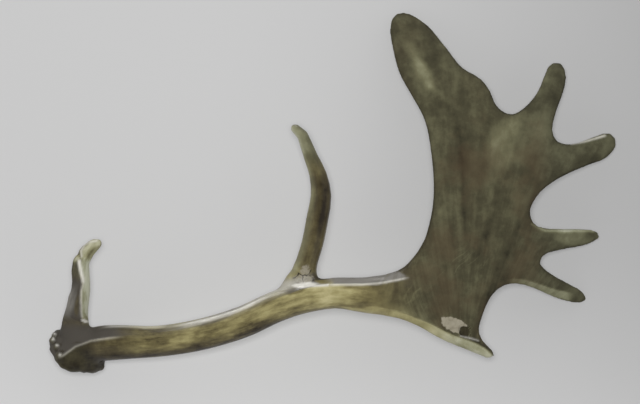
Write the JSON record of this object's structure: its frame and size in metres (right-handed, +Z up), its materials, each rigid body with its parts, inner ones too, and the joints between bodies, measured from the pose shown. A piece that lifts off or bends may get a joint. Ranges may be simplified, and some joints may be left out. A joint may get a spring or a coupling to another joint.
{
  "type": "fallow deer antler",
  "caption": "Shed left antler of a fallow deer: a curved beam with a pearled burr, slim front tines and a broad palm edged with points, lying on its inner side.",
  "frame": {"origin": "on the resting plane, under the middle of the antler's box", "axes": "+X from the burr towards the points of the palm, +Y to the side that the tines point to, +Z up, out of the antler's outer face"},
  "size_m": [0.5698, 0.3662, 0.0814],
  "materials": {
    "antler_bone": "satin"
  },
  "bodies": {
    "root": {"beam": "antler_bone", "brow_tine": "antler_bone", "trez_tine": "antler_bone", "palm": "antler_bone"}
  },
  "joints": []
}
